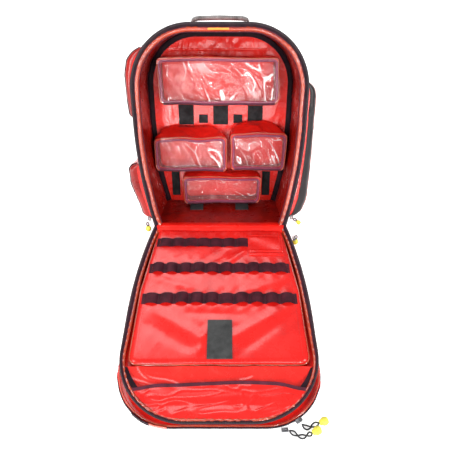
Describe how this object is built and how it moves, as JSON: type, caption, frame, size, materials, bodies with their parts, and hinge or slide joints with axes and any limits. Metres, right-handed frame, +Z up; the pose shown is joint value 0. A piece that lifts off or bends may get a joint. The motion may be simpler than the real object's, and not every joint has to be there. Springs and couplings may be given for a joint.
{
  "type": "trauma backpack",
  "caption": "Clamshell trauma backpack shown open: padded back half with clear-fronted pouches, hinged lid with elastic loops, pockets, harness and zip pulls.",
  "frame": {"origin": "middle of the flat heel that the open pack stands on, on the floor", "axes": "X across the pack, +X to its right seen from the front; +Y towards the wearer's back; +Z up; the open lid lies towards -Y"},
  "size_m": [0.452, 0.8156, 0.5093],
  "materials": {
    "red_tarpaulin": "glossy coated tarpaulin",
    "clear_vinyl": "clear flexible vinyl, glossy",
    "black_tape": "woven tape and piping",
    "black_webbing": "woven webbing",
    "black_padding": "mesh over foam",
    "black_boot": "matte coated fabric over foam",
    "black_plastic": "moulded acetal",
    "zip_metal": "black painted",
    "pull_cord": "braided cord",
    "yellow_rubber": "moulded satin",
    "frame_plastic": "polyethylene sheet",
    "frame_metal": "mill finish",
    "label_vinyl": "blank, glossy"
  },
  "bodies": {
    "back_half": {"back_panel": "red_tarpaulin", "gusset_wall": "red_tarpaulin", "base_panel": "red_tarpaulin", "base_boot": "black_boot", "main_zip_back": "black_tape", "frame_sheet": "frame_plastic", "frame_stays": "frame_metal", "back_pads": "black_padding", "lumbar_pad": "black_padding", "hinge_piping": "black_tape", "pouch_loop_strips": "black_webbing", "floor_tabs": "black_webbing", "label_patch": "label_vinyl", "side_pocket_upper_left": "red_tarpaulin", "side_pocket_lower_left": "red_tarpaulin", "side_pocket_right": "black_padding", "yoke_patch": "black_padding", "lower_straps": "black_webbing"},
    "lid": {"lid_panel": "red_tarpaulin", "lid_wall": "red_tarpaulin", "main_zip_lid": "black_tape", "end_pocket": "red_tarpaulin", "front_pocket": "red_tarpaulin", "front_pocket_zip": "black_tape"},
    "organiser": {"organiser_panel": "red_tarpaulin", "elastic_loops": "black_webbing", "small_pocket": "red_tarpaulin", "loop_patch": "black_webbing"},
    "handle": {"top_handle": "black_webbing"},
    "strap_left": {"shoulder_strap_left": "black_padding", "ladder_lock_left": "black_plastic", "sternum_buckle_left": "black_plastic"},
    "strap_right": {"shoulder_strap_right": "black_padding", "ladder_lock_right": "black_plastic", "sternum_buckle_right": "black_plastic"},
    "belt_left": {"hip_wing_left": "black_padding", "hip_buckle_male": "black_plastic"},
    "belt_right": {"hip_wing_right": "black_padding", "hip_buckle_female": "black_plastic"},
    "pouch_top": {"pouch_top": "red_tarpaulin"},
    "window_top": {"pouch_top_window": "clear_vinyl"},
    "pouch_middle_left": {"pouch_middle_left": "red_tarpaulin"},
    "window_middle_left": {"pouch_middle_left_window": "clear_vinyl"},
    "pouch_middle_right": {"pouch_middle_right": "red_tarpaulin"},
    "window_middle_right": {"pouch_middle_right_window": "clear_vinyl"},
    "pouch_bottom": {"pouch_bottom": "red_tarpaulin"},
    "window_bottom": {"pouch_bottom_window": "clear_vinyl"},
    "slider_left": {"main_slider_left": "zip_metal"},
    "pull_left": {"main_pull_loop_left": "pull_cord", "main_pull_end_left": "yellow_rubber"},
    "slider_right": {"main_slider_right": "zip_metal"},
    "pull_right": {"main_pull_loop_right": "pull_cord", "main_pull_end_right": "yellow_rubber"},
    "slider_a": {"pocket_slider_a": "zip_metal"},
    "pull_a": {"pocket_pull_cord_a": "pull_cord", "pocket_pull_end_a": "yellow_rubber"},
    "slider_b": {"pocket_slider_b": "zip_metal"},
    "pull_b": {"pocket_pull_cord_b": "pull_cord", "pocket_pull_end_b": "yellow_rubber"}
  },
  "joints": [
    {"name": "lid_hinge", "type": "hinge", "parent": "back_half", "child": "lid", "pos_m": [0, -0.17754, 0.082], "axis": [1, 0, 0], "range_deg": [-117.2, 0]},
    {"name": "organiser_hinge", "type": "hinge", "parent": "lid", "child": "organiser", "pos_m": [0, -0.18587, 0.06969], "axis": [-1, 0, 0], "range_deg": [0, 35]},
    {"name": "handle_hinge", "type": "hinge", "parent": "back_half", "child": "handle", "pos_m": [0, 0.1121, 0.46243], "axis": [1, 0, 0], "range_deg": [-50, 50]},
    {"name": "strap_left_hinge", "type": "hinge", "parent": "back_half", "child": "strap_left", "pos_m": [0, 0.16701, 0.38694], "axis": [1, 0, 0], "range_deg": [0, 60]},
    {"name": "strap_right_hinge", "type": "hinge", "parent": "back_half", "child": "strap_right", "pos_m": [0, 0.16701, 0.38694], "axis": [1, 0, 0], "range_deg": [0, 60]},
    {"name": "belt_left_hinge", "type": "hinge", "parent": "back_half", "child": "belt_left", "pos_m": [-0.12, 0.05241, 0.00282], "axis": [0, 0.3256, 0.9455], "range_deg": [0, 150]},
    {"name": "belt_right_hinge", "type": "hinge", "parent": "back_half", "child": "belt_right", "pos_m": [0.12, 0.05241, 0.00282], "axis": [0, -0.3256, -0.9455], "range_deg": [0, 150]},
    {"name": "pouch_top_pull_off", "type": "slide", "parent": "back_half", "child": "pouch_top", "axis": [0, -0.9455, 0.3256], "range_m": [0, 0.04]},
    {"name": "window_top_hinge", "type": "hinge", "parent": "pouch_top", "child": "window_top", "pos_m": [-0.006, 0.02224, 0.30406], "axis": [1, 0, 0], "range_deg": [0, 90]},
    {"name": "pouch_middle_left_pull_off", "type": "slide", "parent": "back_half", "child": "pouch_middle_left", "axis": [0, -0.9455, 0.3256], "range_m": [0, 0.04]},
    {"name": "window_middle_left_hinge", "type": "hinge", "parent": "pouch_middle_left", "child": "window_middle_left", "pos_m": [-0.077, -0.02495, 0.13628], "axis": [1, 0, 0], "range_deg": [0, 90]},
    {"name": "pouch_middle_right_pull_off", "type": "slide", "parent": "back_half", "child": "pouch_middle_right", "axis": [0, -0.9455, 0.3256], "range_m": [0, 0.04]},
    {"name": "window_middle_right_hinge", "type": "hinge", "parent": "pouch_middle_right", "child": "window_middle_right", "pos_m": [0.099, -0.02398, 0.13912], "axis": [1, 0, 0], "range_deg": [0, 90]},
    {"name": "pouch_bottom_pull_off", "type": "slide", "parent": "back_half", "child": "pouch_bottom", "axis": [0, -0.9455, 0.3256], "range_m": [0, 0.04]},
    {"name": "window_bottom_hinge", "type": "hinge", "parent": "pouch_bottom", "child": "window_bottom", "pos_m": [0.002, -0.05393, 0.05213], "axis": [1, 0, 0], "range_deg": [0, 90]},
    {"name": "slider_left_travel", "type": "slide", "parent": "back_half", "child": "slider_left", "axis": [-0.1771, 0.3204, 0.9306], "range_m": [0, 0.1]},
    {"name": "pull_left_swing", "type": "hinge", "parent": "slider_left", "child": "pull_left", "pos_m": [-0.17989, -0.17444, 0.09098], "axis": [0, 1, 0], "range_deg": [0, 80]},
    {"name": "slider_right_travel", "type": "slide", "parent": "lid", "child": "slider_right", "axis": [0.1565, -0.9776, -0.1409], "range_m": [0, 0.1]},
    {"name": "pull_right_swing", "type": "hinge", "parent": "slider_right", "child": "pull_right", "pos_m": [0.18453, -0.20773, 0.07765], "axis": [0, -1, 0], "range_deg": [0, 80]},
    {"name": "slider_a_travel", "type": "slide", "parent": "lid", "child": "slider_a", "axis": [0.8607, 0.5091, 0], "range_m": [0, 0.02]},
    {"name": "pull_a_swing", "type": "hinge", "parent": "slider_a", "child": "pull_a", "pos_m": [0.1442, -0.61434, 0.0042], "axis": [0, 0, 1], "range_deg": [0, 40]},
    {"name": "slider_b_travel", "type": "slide", "parent": "lid", "child": "slider_b", "axis": [-0.9994, -0.0357, 0], "range_m": [0, 0.15]},
    {"name": "pull_b_swing", "type": "hinge", "parent": "slider_b", "child": "pull_b", "pos_m": [0.117, -0.63054, 0.0042], "axis": [0, 0, -1], "range_deg": [0, 45]}
  ]
}
